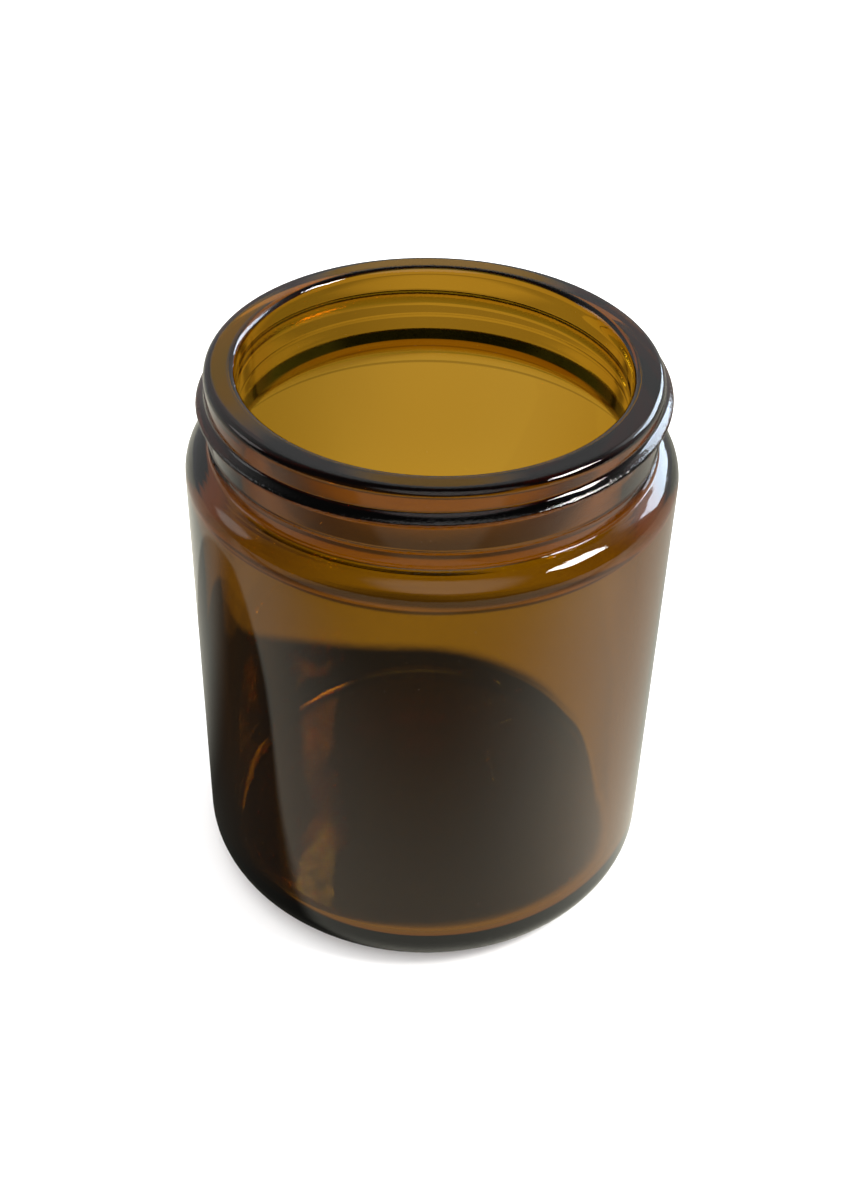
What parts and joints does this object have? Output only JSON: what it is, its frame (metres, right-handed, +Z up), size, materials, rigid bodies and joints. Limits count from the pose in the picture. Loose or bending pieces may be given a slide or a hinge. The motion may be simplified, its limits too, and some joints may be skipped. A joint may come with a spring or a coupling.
{
  "type": "cosmetic cream jar",
  "caption": "Empty straight-sided amber glass cream jar with a wide screw neck, rounded shoulder and heel, and no lid.",
  "frame": {"origin": "centre of the ring that the base stands on", "axes": "+Z up the jar's axis, out of the mouth; -Y is the front"},
  "size_m": [0.0734, 0.0734, 0.09],
  "materials": {
    "amber_glass": "clear amber soda-lime glass, fire-polished and glossy, about 3.9 mm thick in the wall"
  },
  "bodies": {
    "root": {"glass_jar": "amber_glass"}
  },
  "joints": []
}
